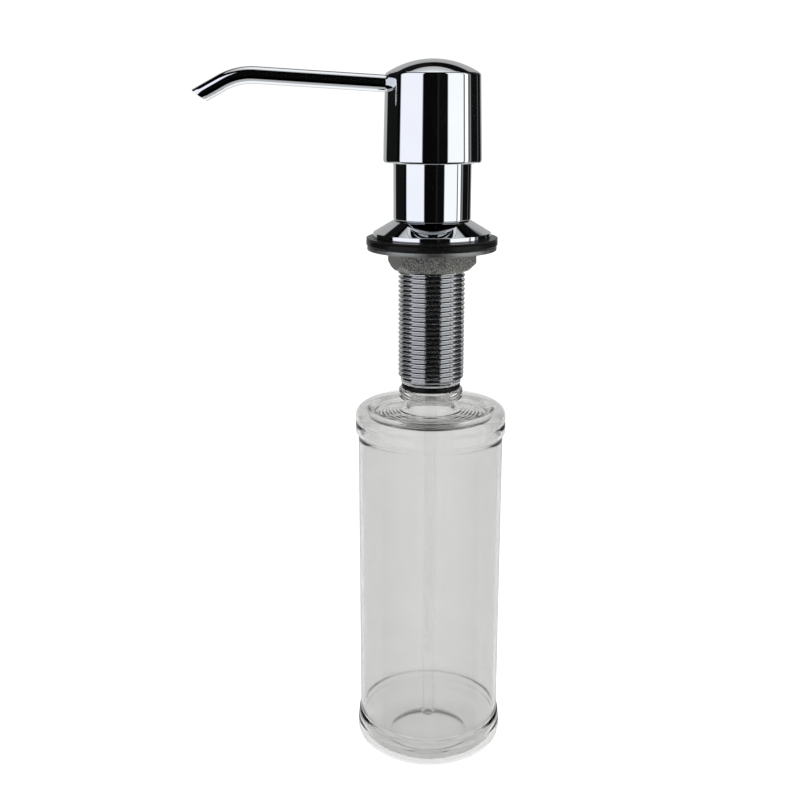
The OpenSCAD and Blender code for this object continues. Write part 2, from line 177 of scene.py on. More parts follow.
class SpringSizes(PropertyGroup):
    wire: length("Wire", "Diameter of the spring's wire", 1.0)
    coils: FloatProperty(name="Coils", description="Turns of the spring", default=9.5, min=3)
    closed: FloatProperty(name="Closed", description="Closed turns at each end", default=0.9, min=0)
    stroke: length("Stroke", "How far the head can be pressed", 14)


class Finishes(PropertyGroup):
    chrome: colour("Chrome", "Polished chrome plate", "D2D5D8")
    thread: colour("Thread", "Chrome plate on the cut thread", "C6C8CA")
    nut: colour("Nut", "Blasted zinc casting", "6E6F6B")
    washer: colour("Washer", "Dull zinc plate on stamped steel", "8E908E")
    steel: colour("Stainless", "Drawn and ground stainless steel", "B9B7B0")
    rubber: colour("Rubber", "Moulded nitrile rubber", "0B0B0C")
    moulding: colour("Acetal", "Natural moulded acetal", "ECEBE4")
    dark: colour("Dark moulding", "Moulded black polypropylene", "1B1C1E")
    pale_seal: colour("Pale gasket", "Soft white foam gasket", "E3E1DA")
    bottle: colour("Bottle", "Clear blown polyester", "DFDFDE")
    tube: colour("Tube", "Clear extruded polyethylene", "FFFFFF")
    floor: colour("Floor", "Plain pale floor", "F4F4F4")


class StageSizes(PropertyGroup):
    distance: length("Camera distance", "Camera from the dispenser's axis", 425)
    aside: length("Camera aside", "Camera to the left of the axis", 12.12)
    height: length("Camera height", "Camera over the deck", 51.6)
    tilt: angle("Camera tilt", "How far the camera looks down", 15.14)
    lens: FloatProperty(name="Lens", description="Focal length", default=50.2, unit="CAMERA")
    below: length("Floor", "Floor below the bottle's foot", 400)


SETTINGS = {
    "dispenser_head": HeadSizes,
    "dispenser_spout": SpoutSizes,
    "dispenser_deck": DeckSizes,
    "dispenser_shank": ShankSizes,
    "dispenser_bottle": BottleSizes,
    "dispenser_spring": SpringSizes,
    "dispenser_finish": Finishes,
    "dispenser_stage": StageSizes,
}


# ---------------------------------------------------------------- mesh helpers


def measure(node):
    """Radius, foot and top of a round CAD node, in millimetres."""
    low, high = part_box(node)
    return (high.x - low.x) / 2 / MM, low.z / MM, high.z / MM


def arc(r, z, wide, high, start, end, count=8):
    """Points in millimetres on an ellipse's arc about (r, z), angles in degrees."""
    turns = [math.radians(start + (end - start) * i / count) for i in range(count + 1)]
    return [(r + wide * math.cos(a), z + high * math.sin(a)) for a in turns]


def revolve(bm, outline, closed=True, steps=STEPS):
    """Turns a (radius, height) outline in millimetres about Z. A radius of 0 becomes one point."""
    rows = []
    for r, z in outline:
        if r < 1e-6:
            rows.append([bm.verts.new((0, 0, z * MM))] * steps)
            continue
        rows.append([
            bm.verts.new((
                r * MM * math.cos(2 * math.pi * i / steps),
                r * MM * math.sin(2 * math.pi * i / steps),
                z * MM,
            ))
            for i in range(steps)
        ])
    pairs = list(zip(rows, rows[1:]))
    if closed:
        pairs.append((rows[-1], rows[0]))
    for low, high in pairs:
        for i in range(steps):
            j = (i + 1) % steps
            corners = list(dict.fromkeys((low[i], low[j], high[j], high[i])))
            if len(corners) > 2:
                bm.faces.new(corners)


def spiral(bm, profile, pitch, low, high, root):
    """A helical thread between two heights. Its profile is (share of the pitch, radius)."""
    count = len(profile)
    turns = math.ceil((high - low) / pitch) + 2
    rows = []
    for turn in range(turns):
        for share, radius in profile:
            row = []
            for i in range(STEPS):
                a = 2 * math.pi * i / STEPS
                z = low + pitch * (turn - 1 + share + i / STEPS)
                fade = min(1, max(0, (z - low) / pitch), max(0, (high - z) / pitch))
                r = root + (radius - root) * min(1, fade * 1.6)
                z = min(max(z, low), high)
                row.append(bm.verts.new((r * MM * math.cos(a), r * MM * math.sin(a), z * MM)))
            rows.append(row)
    for k in range(len(rows) - 1):
        for i in range(STEPS):
            if i < STEPS - 1:
                corners = (rows[k][i], rows[k][i + 1], rows[k + 1][i + 1], rows[k + 1][i])
            elif k + 1 + count < len(rows):
                corners = (rows[k][i], rows[k + count][0], rows[k + 1 + count][0], rows[k + 1][i])
            else:
                continue
            bm.faces.new(corners)


def ring_sweep(bm, rings):
    """Joins closed rings of points in metres into one closed skin, last ring to first."""
    rows = [[bm.verts.new(p) for p in ring] for ring in rings]
    for a, b in zip(rows, rows[1:] + rows[:1]):
        for i in range(len(a)):
            j = (i + 1) % len(a)
            bm.faces.new((a[i], a[j], b[j], b[i]))


def finish_mesh(bm, name, body, node, finish, sharp):
    """Turns a bmesh into a piece that rides on a body and stands for a CAD node.

    Edges bent by more than sharp, in degrees, stay crisp.
    """
    bmesh.ops.remove_doubles(bm, verts=bm.verts, dist=2e-7)
    bmesh.ops.dissolve_degenerate(bm, edges=bm.edges, dist=1e-8)
    bmesh.ops.recalc_face_normals(bm, faces=bm.faces)
    mesh = bpy.data.meshes.new(name)
    bm.to_mesh(mesh)
    bm.free()
    mesh.polygons.foreach_set("use_smooth", [True] * len(mesh.polygons))
    mesh.set_sharp_from_angle(angle=math.radians(sharp))
    piece = bpy.data.objects.new(name, mesh)
    bpy.context.scene.collection.objects.link(piece)
    mesh.materials.append(finish)
    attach(piece, body)
    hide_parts(node)
    return piece


# ---------------------------------------------------------------- finishes


def put(tree, kind, links=None, **settings):
    """Adds one node. links maps an input to a value or a (node, output); settings are its own."""
    made = tree.nodes.new(kind)
    made.location = (220 * (len(tree.nodes) % 8), -260 * (len(tree.nodes) // 8))
    for key, value in settings.items():
        setattr(made, key, value)
    for key, value in (links or {}).items():
        if isinstance(value, tuple) and isinstance(value[0], bpy.types.Node):
            tree.links.new(value[0].outputs[value[1]], made.inputs[key])
        else:
            made.inputs[key].default_value = value
    return made


def stops(node, values):
    """Sets a colour ramp's stops from (place, value or colour) pairs."""
    ramp = node.color_ramp
    while len(ramp.elements) > 1:
        ramp.elements.remove(ramp.elements[-1])
    for i, (place, value) in enumerate(values):
        stop = ramp.elements[0] if i == 0 else ramp.elements.new(place)
        stop.position = place
        stop.color = value if isinstance(value, tuple) else (value, value, value, 1)


def surface(name, sockets, grain, tint, rough, bump, crisp=0.2):
    """A principled finish whose colour, roughness and relief vary with one grain.

    grain is (size in mm, detail), tint (lower, upper colour), rough (lower, upper),
    and bump (height in mm, share). A small crisp gives the grain hard edges. Uniform
    values go on the shader's own sockets.
    """
    made = bpy.data.materials.get(name)
    if made:
        return made
    made = bpy.data.materials.new(name)
    made.use_nodes = True
    tree = made.node_tree
    shader = tree.nodes["Principled BSDF"]
    place = put(tree, "ShaderNodeTexCoord")
    noise = put(
        tree,
        "ShaderNodeTexNoise",
        {"Vector": (place, "Object"), "Scale": 1 / (grain[0] * MM), "Detail": grain[1]},
    )
    shades = put(tree, "ShaderNodeValToRGB", {"Fac": (noise, "Fac")})
    stops(shades, [(0.5 - crisp, tint[0]), (0.5 + crisp, tint[1])])
    gloss = put(
        tree,
        "ShaderNodeMapRange",
        {"Value": (noise, "Fac"), "From Min": 0.5 - crisp, "From Max": 0.5 + crisp,
         "To Min": rough[0], "To Max": rough[1]},
    )
    relief = put(
        tree,
        "ShaderNodeBump",
        {"Height": (noise, "Fac"), "Distance": bump[0] * MM, "Strength": bump[1]},
    )
    tree.links.new(shades.outputs["Color"], shader.inputs["Base Color"])
    tree.links.new(gloss.outputs["Result"], shader.inputs["Roughness"])
    tree.links.new(relief.outputs["Normal"], shader.inputs["Normal"])
    for key, value in sockets.items():
        shader.inputs[key].default_value = value
    return made


def shade(rgba, factor):
    """A colour made lighter or darker by a factor."""
    return (*(min(1, c * factor) for c in rgba[:3]), 1)


def tone_of(name):
    """A colour that the finishes hold."""
    return tuple(getattr(bpy.context.scene.dispenser_finish, name))


def polished_chrome():
    """Chrome plate on polished brass: a mirror, with the faintest ripple from polishing."""
    tone = tone_of("chrome")
    return surface(
        "polished_chrome_plate",
        {"Metallic": 1.0},
        (14, 2),
        (shade(tone, 0.97), tone),
        (0.015, 0.035),
        (0.02, 0.05),
    )


def threaded_chrome():
    """Chrome plate on a cut thread: bright crests over flanks that the tool left less smooth."""
    tone = tone_of("thread")
    return surface(
        "chrome_plated_cut_thread",
        {"Metallic": 1.0},
        (0.6, 3),
        (shade(tone, 0.9), tone),
        (0.08, 0.2),
        (0.02, 0.3),
    )


def cast_zinc():
    """Blasted zinc casting: a fine sandy skin that breaks every highlight into grains."""
    tone = tone_of("nut")
    return surface(
        "blasted_zinc_casting",
        {"Metallic": 0.6},
        (0.42, 2),
        (shade(tone, 0.3), shade(tone, 1.7)),
        (0.3, 0.5),
        (0.12, 0.7),
        0.07,
    )


def stamped_steel():
    """Zinc plated sheet: an even dull grey with faint mottling and no clear reflections."""
    tone = tone_of("washer")
    return surface(
        "zinc_plated_stamped_steel",
        {"Metallic": 1.0},
        (1.8, 4),
        (shade(tone, 0.82), shade(tone, 1.1)),
        (0.36, 0.5),
        (0.03, 0.4),
    )


def stainless():
    """Drawn and ground stainless steel: bright, with fine lines that soften its highlights."""
    tone = tone_of("steel")
    return surface(
        "ground_stainless_steel",
        {"Metallic": 1.0},
        (0.5, 3),
        (shade(tone, 0.9), tone),
        (0.1, 0.22),
        (0.01, 0.3),
    )


def moulded_rubber():
    """Moulded nitrile rubber: near black, with a satin skin that greys where light grazes it."""
    tone = tone_of("rubber")
    return surface(
        "moulded_nitrile_rubber",
        {"IOR": 1.52, "Specular IOR Level": 0.12},
        (0.7, 4),
        (shade(tone, 0.7), shade(tone, 1.5)),
        (0.22, 0.32),
        (0.05, 0.35),
    )


def moulded_acetal():
    """Natural acetal from a polished mould: milky, faintly translucent and a little waxy."""
    tone = tone_of("moulding")
    return surface(
        "natural_moulded_acetal",
        {
            "IOR": 1.48,
            "Subsurface Weight": 0.25,
            "Subsurface Radius": (1, 0.95, 0.85),
            "Subsurface Scale": 0.0015,
        },
        (2.5, 3),
        (shade(tone, 0.94), tone),
        (0.26, 0.36),
        (0.02, 0.3),
    )


def dark_moulding():
    """Black polypropylene from a spark-eroded mould: dark, with a fine even texture."""
    tone = tone_of("dark")
    return surface(
        "textured_black_polypropylene",
        {"IOR": 1.49},
        (0.4, 3),
        (shade(tone, 0.8), shade(tone, 1.4)),
        (0.4, 0.55),
        (0.06, 0.5),
    )


def foam_gasket():
    """Closed-cell foam: off white and quite matt, with cells about a third of a millimetre wide."""
    tone = tone_of("pale_seal")
    return surface(
        "closed_cell_foam",
        {"IOR": 1.45, "Specular IOR Level": 0.2},
        (0.35, 4),
        (shade(tone, 0.8), tone),
        (0.7, 0.9),
        (0.12, 0.6),
    )


def clear_plastic(name, tone, index, wave, haze):
    """A see-through finish whose only relief is the slow ripple that its making left."""
    return surface(
        name,
        {"IOR": index, "Transmission Weight": 1.0},
        (wave, 1),
        (shade(tone, 0.985), tone),
        haze,
        (0.25, 0.12),
    )


def blown_polyester():
    """Stretch-blown polyester: clear, and a little greyer towards the foot."""
    tone = tone_of("bottle")
    made = clear_plastic("clear_blown_polyester", tone, 1.36, 16, (0.05, 0.09))
    tree = made.node_tree
    base = tree.nodes["Principled BSDF"].inputs["Base Color"]
    place = put(tree, "ShaderNodeTexCoord")
    axes = put(tree, "ShaderNodeSeparateXYZ", {"Vector": (place, "Generated")})
    # The tint is made greyer over the lowest part of the bottle, darker towards the foot.
    foot_grey = put(tree, "ShaderNodeValToRGB", {"Fac": (axes, "Z")})
    stops(foot_grey, [(0, 0.9), (0.085, 0.93), (0.11, 1.0)])
    # Seen at a slant, light crosses more of the wall and comes out greyer.
    slant = put(tree, "ShaderNodeLayerWeight", {"Blend": 0.5})
    depth = put(tree, "ShaderNodeValToRGB", {"Fac": (slant, "Facing")})
    stops(depth, [(0.03, 1.0), (0.12, 0.98), (0.4, 0.935), (1.0, 0.91)])
    tint = (base.links[0].from_node, base.links[0].from_socket.name)
    for layer in (foot_grey, depth):
        both = put(
            tree, "ShaderNodeMix", {"Factor": 1.0, 6: tint, 7: (layer, "Color")},
            data_type="RGBA", blend_type="MULTIPLY",
        )
        tint = (both, 2)
    tree.links.new(tint[0].outputs[tint[1]], base)
    return made


def clear_polyethylene():
    """Extruded clear polyethylene tube: soft edged and barely there inside the bottle."""
    tone = tone_of("tube")
    return clear_plastic("clear_extruded_polyethylene", tone, 1.03, 6, (0.0, 0.01))


# ---------------------------------------------------------------- pieces


class DISPENSER_OT_head(Operator):
    """Build the chromed press head with its domed crown"""

    bl_idname = "dispenser.head"
    bl_label = "Press Head"

    def execute(self, context):
        sizes = context.scene.dispenser_head
        wide, low, high = measure("head_shell")
        crown, wall, edge, hem = (v / MM for v in (sizes.crown, sizes.wall, sizes.edge, sizes.hem))
        top_r = wide - sizes.taper / MM
        dome = (top_r**2 + crown**2) / (2 * crown)
        centre = high - dome
        core_r, core_low, _ = measure("head_core")
        mouth = measure("collar_sleeve")[0] + sizes.play / MM
        lip = sizes.lip / MM
        edge_z = centre + math.sqrt((dome - edge) ** 2 - (top_r - edge) ** 2)
        meet = math.degrees(math.acos((top_r - edge) / (dome - edge)))
        inner = math.degrees(math.acos(core_r / (dome - wall)))
        outline = (
            [(0, high - wall)]
            + arc(0, centre, dome - wall, dome - wall, 86, inner, 12)
            + [(core_r, core_low - 1), (wide - wall, low + lip + 0.5), (mouth + 0.2, low + lip)]
            + arc(mouth + 0.15, low + 0.15, 0.15, 0.15, 180, 270, 4)
            + arc(wide - hem * 0.35, low + hem, hem * 0.35, hem, -90, 0, 12)
            + arc(top_r - edge, edge_z, edge, edge, 0, meet, 12)
            + arc(0, centre, dome, dome, meet, 88, 40)[1:]
            + [(0, high)]
        )
        bm = bmesh.new()
        revolve(bm, outline, closed=False, steps=FINE_STEPS)
        finish_mesh(bm, "press_head", "head", "head_shell", polished_chrome(), 40)
        return {"FINISHED"}


class DISPENSER_OT_spout(Operator):
    """Build the bent spout tube with its slanted mouth"""

    bl_idname = "dispenser.spout"
    bl_label = "Spout"

    def execute(self, context):
        sizes = context.scene.dispenser_spout
        head = context.scene.dispenser_head
        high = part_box("head_shell")[1].z
        start = Vector((0, 0, high - head.crown - sizes.drop))
        outer = sizes.diameter / 2
        inner = outer - sizes.wall
        slant = math.tan(sizes.cut)

        def along(slope):
            return Vector((-math.cos(slope), 0, math.sin(slope)))

        def upright(slope):
            return Vector((math.sin(slope), 0, math.cos(slope)))

        around = 72

        def ring(at, slope, radius, reach=0.0, slanted=0.0):
            points = []
            for i in range(around):
                a = 2 * math.pi * i / around
                push = reach + slanted * slant * radius * math.cos(a)
                side = upright(slope) * math.cos(a) + Vector((0, 1, 0)) * math.sin(a)
                points.append(at + side * radius + along(slope) * push)
            return points

        bend_at = start + along(sizes.rise) * sizes.reach
        centre = bend_at - upright(sizes.rise) * sizes.bend_radius
        last = sizes.rise - sizes.bend
        bend_end = centre + upright(last) * sizes.bend_radius
        straight, curved = 12, 28
        spine = []
        for i in range(straight):
            far = sizes.start + (sizes.reach - sizes.start) * i / straight
            spine.append((start + along(sizes.rise) * far, sizes.rise))
        for i in range(curved + 1):
            slope = sizes.rise - sizes.bend * i / curved
            spine.append((centre + upright(slope) * sizes.bend_radius, slope))
        rings = [ring(at, slope, outer) for at, slope in spine]
        lip = 0.12 * MM
        for share in (0.25, 0.5, 0.75):
            rings.append(ring(bend_end, last, outer, sizes.tip * share, share))
        # The mouth's rounded rim, outer side first
        for radius, inward, turns in ((outer, -lip, (0, 30, 60, 90)), (inner, lip, (90, 45, 0))):
            for a in map(math.radians, turns):
                reach = sizes.tip - lip * (1 - math.sin(a))
                rings.append(ring(bend_end, last, radius + inward * (1 - math.cos(a)), reach, 1))
        rings.append(ring(bend_end, last, inner, sizes.tip * 0.5, 0.5))
        rings += [ring(at, slope, inner) for at, slope in reversed(spine)]
        bm = bmesh.new()
        ring_sweep(bm, rings)
        finish_mesh(bm, "spout", "head", "spout_tube", polished_chrome(), 40)
        return {"FINISHED"}


class DISPENSER_OT_collar(Operator):
    """Build the chromed collar and the flange that rests on the deck"""

    bl_idname = "dispenser.collar"
    bl_label = "Collar and Flange"

    def execute(self, context):
        sizes = context.scene.dispenser_deck
        bore, edge, rim, rim_edge = (
            v / MM for v in (sizes.bore, sizes.collar_edge, sizes.rim, sizes.rim_edge)
        )
        wide, low, high = measure("collar_sleeve")
        bm = bmesh.new()
        revolve(
            bm,
            [(bore, low + 0.2), (bore + 0.2, low)]
            + arc(wide - edge, low + edge, edge, edge, -90, 0, 12)
            + arc(wide - 0.35, high - 0.35, 0.35, 0.35, 0, 90, 6)
            + arc(bore + 0.25, high - 0.25, 0.25, 0.25, 90, 180, 4),
            steps=FINE_STEPS,
        )
        finish_mesh(bm, "collar", "base", "collar_sleeve", polished_chrome(), 40)
        seat = wide + sizes.seat / MM
        wide, low, high = measure("deck_flange")
        slope = math.degrees(math.atan2(wide - seat, high - low - rim))
        bm = bmesh.new()
        revolve(
            bm,
            [(bore, low)]
            + arc(wide - 0.15, low + 0.15, 0.15, 0.15, -90, 0, 5)
            + arc(wide - rim_edge, low + rim - rim_edge * 0.4, rim_edge, rim_edge, 0, slope, 8)
            + arc(seat - 0.5, high - 0.5, 0.5, 0.5, slope, 90, 8)
            + [(bore, high)],
            steps=FINE_STEPS,
        )
        finish_mesh(bm, "flange", "base", "deck_flange", polished_chrome(), 40)
        return {"FINISHED"}


class DISPENSER_OT_gaskets(Operator):
    """Build the rubber gaskets, the steel washer and the bottle's seal ring"""

    bl_idname = "dispenser.gaskets"
    bl_label = "Gaskets and Washer"

    def execute(self, context):
        hole = context.scene.dispenser_deck.hole / MM
        loose = hole + 0.1
        seal_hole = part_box("bottle_seal")[1].x / MM - 1.0
        rubber = moulded_rubber()
        # Node, body, slot, finish, hole's radius, and radii of the upper and lower edge
        plan = (
            ("deck_gasket", "base", "gasket_rubber", rubber, hole, 0.3, 0.45),
            ("lower_washer", "washers", "gasket_rubber", rubber, loose, 0.45, 0.5),
            ("clamp_washer", "washers", "clamp_steel", stamped_steel(), loose, 0.7, 0.3),
            ("bottle_seal", "seal", "seal_rubber", rubber, seal_hole, 0.45, 0.45),
        )
        for node, body, slot, finish, inside, upper, lower in plan:
            wide, low, high = measure(node)
            bm = bmesh.new()
            revolve(
                bm,
                [(inside, low + 0.15), (inside + 0.15, low)]
                + arc(wide - lower, low + lower, lower, lower, -90, 0, 8)
                + arc(wide - upper, high - upper, upper, upper, 0, 90, 8)
                + [(inside + 0.15, high), (inside, high - 0.15)],
                steps=224,
            )
            finish_mesh(bm, node + "_made", body, node, finish, 40)
        return {"FINISHED"}


class DISPENSER_OT_shank(Operator):
    """Build the threaded shank and the cast nut on it"""

    bl_idname = "dispenser.shank"
    bl_label = "Shank and Nut"

    def execute(self, context):
        sizes = context.scene.dispenser_shank
        deck = context.scene.dispenser_deck
        pitch, depth, bore, socket = (
            v / MM for v in (sizes.pitch, sizes.depth, sizes.bore, sizes.socket)
        )
        crest, low, high = measure("threaded_shank")
        root = crest - depth
        start = low + sizes.plain / MM
        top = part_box("deck_gasket")[1].z / MM
        spigot = deck.bore / MM
        ledge = low + sizes.socket_depth / MM
        bm = bmesh.new()
        spiral(
            bm,
            [(0, root - 0.1), (0.1, root), (0.325, crest - 0.18), (0.36, crest - 0.05),
             (0.4, crest), (0.6, crest), (0.64, crest - 0.05), (0.675, crest - 0.18), (0.9, root)],
            pitch, start, top - 0.4, root,
        )
        revolve(
            bm,
            [(root, top - 0.4), (root, top), (spigot, top), (spigot, high - 0.4),
             (spigot - 0.4, high), (bore + 0.3, high), (bore, high - 0.3), (bore, ledge + 0.3),
             (bore + 0.3, ledge), (socket, ledge), (socket, low + 0.3), (socket + 0.2, low),
             (root - 0.65, low), (root - 0.25, low + 0.35), (root, low + 0.7), (root, start)],
            closed=False,
        )
        finish_mesh(bm, "shank", "base", "threaded_shank", threaded_chrome(), 38)

        low, high = (v.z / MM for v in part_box("mounting_nut"))
        half = sizes.across / 2 / MM
        bevel = sizes.corner / MM
        bore = crest + 0.1
        soft = 0.3
        outline = []
        for corner in range(6):
            turn = sizes.turned + math.radians(60 * corner)
            out = (half - soft) / math.cos(math.radians(30))
            centre = Vector((math.cos(turn), math.sin(turn))) * out
            for i in range(7):
                a = turn + math.radians(-30 + 10 * i)
                outline.append(centre + Vector((math.cos(a), math.sin(a))) * soft)
        # The long flats are cut into short stretches, so their bevel can curve.
        full = []
        for here, there in zip(outline, outline[1:] + outline[:1]):
            count = 12 if (there - here).length > 3 else 1
            full += [here.lerp(there, i / count) for i in range(count)]

        def level(height, limit=None, drop=0.0, rise=0.0):
            """The nut's outline at a height, cut to a radius, its corners dropped or raised."""
            ring = []
            for p in full:
                r = p.length if limit is None else min(p.length, limit)
                q = p.normalized() * r
                z = height + rise * max(0, r - half + 0.4) - drop * max(0, r - bevel)
                ring.append(Vector((q.x, q.y, z)) * MM)
            return ring

        bm = bmesh.new()
        ring_sweep(
            bm,
            [level(low + 0.5, bore), level(low, bore + 0.5), level(low, half - 0.4),
             level(low, None, rise=1.0), level(high, None, drop=0.7), level(high, bevel),
             level(high, bore + 0.5), level(high - 0.5, bore)],
        )
        nut = finish_mesh(bm, "nut", "nut", "mounting_nut", cast_zinc(), 20)
        soften = nut.modifiers.new("soft_edges", "BEVEL")
        soften.width = 0.14 * MM
        soften.segments = 3
        soften.limit_method = "ANGLE"
        soften.angle_limit = math.radians(24)
        return {"FINISHED"}


class DISPENSER_OT_bottle(Operator):
    """Build the clear blown bottle with its recessed shoulder and raised floor"""

    bl_idname = "dispenser.bottle"
    bl_label = "Bottle"

    def execute(self, context):
        s = context.scene.dispenser_bottle
        body, wall, neck, neck_wall, tall, depth, pitch, stop, stop_t, drop, push = (
            v / MM
            for v in (s.body, s.wall, s.neck, s.neck_wall, s.neck_height, s.thread, s.pitch, s.stop,
                      s.stop_height, s.drop, s.push_up)
        )
        wide, foot, top = measure("bottle")
        bead = wide - 0.1
        bore = neck - neck_wall
        under = top - tall - stop_t
        crown = under - drop
        waist = bore + 1
        near, far = waist + 1.9, bead - 9
        thin = neck - depth

        def ripple(t):
            """A point of the recess's floor, which slopes outward and down under its fine rings."""
            ring = 0.12 * math.cos(2 * math.pi * s.rings * t)
            return (near + (far - near) * t, crown - 1.62 - 1.6 * t - ring)

        def swell(t):
            """A point of the inner wall where it widens from the body into the upper bead."""
            half = (bead - body) * math.cos(math.pi * t)
            return ((body + bead - half) / 2 - wall, crown - 14 + 4.8 * t)

        outside = (
            # Stop flange and waist
            arc(stop - 0.6, top - tall - 0.6, 0.6, 0.6, 90, 0, 6)
            + arc(stop - 0.6, under + 0.6, 0.6, 0.6, 0, -90, 6)
            + arc(waist + 0.8, under - 0.8, 0.8, 0.8, 90, 180, 5)
            # Recess, then the shoulder's rounded crown
            + arc(near, crown, 1.9, 1.7, 180, 265, 9)
            + [ripple(i / 84) for i in range(2, 84)]
            + arc(bead - 8.4, crown - 2.5, 0.9, 0.8, 280, 350, 5)
            + arc(bead - 4.6, crown - 2.3, 2.9, 2.3, 172, 90, 12)
            + arc(bead - 4.6, crown - 4.3, 4.6, 4.3, 88, 0, 22)
            # Upper bead with the groove round its middle
            + [(bead, crown - 5.3), (bead - 0.12, crown - 5.8), (bead - 0.28, crown - 6.2),
               (bead - 0.12, crown - 6.6), (bead, crown - 7.1)]
            + arc(bead - 1, crown - 10, 1, 1, 0, -52, 7)
            + arc(body + 1.1, crown - 11.9, 1.1, 0.9, 140, 180, 4)
            # Straight body
            + [(body, crown - 12.6 - (crown - 12.6 - foot - 16.2) * i / 24) for i in range(25)]
            # Lower bead and the rounded heel
            + [(body, foot + 15.8), (body + 0.06, foot + 15.2), (body + 0.18, foot + 14.7)]
            + arc(body + 0.7 - 0.8, foot + 13.2, 0.8, 1.2, 60, -30, 7)
            + arc(bead + 0.1 - 1, foot + 9.6, 1, 1.4, 30, 0, 4)
            + arc(bead + 0.1 - 8.5, foot + 6.9, 8.5, 6.9, 0, -88, 26)
            # Foot ring and pushed-up floor
            + [(body - 10.5, foot), (body - 11.5, foot)]
            + arc(0, foot, body - 12, push, 0, 86, 20)
            + [(0, foot + push)]
        )
        inside = (
            # Floor and heel
            [(0, foot + wall + push)]
            + arc(0, foot + wall, body - 12, push, 86, 0, 20)
            + [(body - 11.5, foot + wall)]
            + arc(body - wall - 7, foot + wall + 7, 7, 7, -88, 0, 20)
            # Body, upper bead and shoulder
            + [(body - wall, foot + 10 + (crown - 14.2 - foot - 10) * i / 24) for i in range(25)]
            + [swell(i / 12) for i in range(13)]
            + arc(bead - 4.4, crown - 4.4, 4.4 - wall, 2.8, 0, 84, 14)
            + arc(bead - 4.4, crown - 4, 2, 2.4, 92, 178, 10)
            + [(far + 0.7, crown - 4.7), (near + 1, crown - 3.1)]
            # Neck
            + arc(bore + 2.6, crown - 0.4, 2.6, 2.6, 268, 180, 10)
            + [(bore, under - 0.5), (bore, top - 0.3), (bore + 0.3, top), (thin - 0.2, top),
               (thin, top - 0.2), (thin, top - 0.4)]
        )
        low_thread = top - tall + 1.2
        bm = bmesh.new()
        spiral(
            bm,
            [(0, thin), (0.22, thin), (0.36, neck), (0.5, neck), (0.64, thin)],
            pitch, low_thread, top - 0.4, thin,
        )
        revolve(bm, [(thin, low_thread), (thin, top - tall)] + outside + inside, closed=False)
        # The mould's parting line: the outer wall stands proud along two upright lines.
        reach = 0.7 * MM
        for v in bm.verts:
            r = math.hypot(v.co.x, v.co.y)
            at = math.atan2(v.co.x, -v.co.y) - s.seam_turn
            off = abs(math.sin(at)) * r
            if r > (body - 0.4) * MM and off < reach:
                grown = r + s.seam * (1 - off / reach)
                v.co.x *= grown / r
                v.co.y *= grown / r
        finish_mesh(bm, "blown_bottle", "bottle", "bottle", blown_polyester(), 50)
        return {"FINISHED"}


class DISPENSER_OT_spring(Operator):
    """Build the coiled return spring at the length of its CAD node; this mesh does not shorten as
    the head goes down
    """

    bl_idname = "dispenser.spring"
    bl_label = "Return Spring"

    def execute(self, context):
        sizes = context.scene.dispenser_spring
        wide, low, high = measure("return_spring")
        wire = sizes.wire / MM / 2
        radius = wide - wire
        per_turn, around = 28, 10
        total = int(sizes.coils * per_turn)
        # The end turns lie a wire's thickness apart, and the turns between share the rest.
        open_turns = sizes.coils - 2 * sizes.closed
        rise = high - low - 2 * wire - 2 * sizes.closed * 2 * wire
        rings = []
        for i in range(total + 1):
            turns = i / per_turn
            if turns < sizes.closed:
                z = turns * 2 * wire
            elif turns > sizes.coils - sizes.closed:
                z = sizes.closed * 2 * wire + rise + (turns - sizes.coils + sizes.closed) * 2 * wire
            else:
                z = sizes.closed * 2 * wire + rise * (turns - sizes.closed) / open_turns
            a = 2 * math.pi * turns
            out = Vector((math.cos(a), math.sin(a), 0))
            at = out * radius + Vector((0, 0, low + wire + z))
            rings.append([
                (at + (out * math.cos(b) + Vector((0, 0, 1)) * math.sin(b)) * wire) * MM
                for b in (2 * math.pi * k / around for k in range(around))
            ])
        bm = bmesh.new()
        rows = [[bm.verts.new(p) for p in ring] for ring in rings]
        for a, b in zip(rows, rows[1:]):
            for i in range(around):
                j = (i + 1) % around
                bm.faces.new((a[i], a[j], b[j], b[i]))
        bm.faces.new(rows[0])
        bm.faces.new(rows[-1])
        spring = finish_mesh(
            bm, "coil_spring", "pump", "return_spring", stainless(), 50
        )
        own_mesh(spring)
        return {"FINISHED"}


class DISPENSER_OT_pump(Operator):
    """Give the moulded pump parts, balls, seals and dip tube their finishes"""

    bl_idname = "dispenser.pump"
    bl_label = "Pump Finishes"

    def execute(self, context):
        plan = {
            moulded_acetal: ("head_core", "pump_stem", "piston", "pump_guide", "pump_cylinder"),
            dark_moulding: ("pump_cap",),
            moulded_rubber: ("spout_seal",),
            foam_gasket: ("cap_gasket",),
            stainless: ("outlet_ball", "inlet_ball"),
            clear_polyethylene: ("dip_tube",),
        }
        for finish, nodes in plan.items():
            for node in nodes:
                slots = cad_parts[node].data.materials
                slots.clear()
                slots.append(finish())
        return {"FINISHED"}


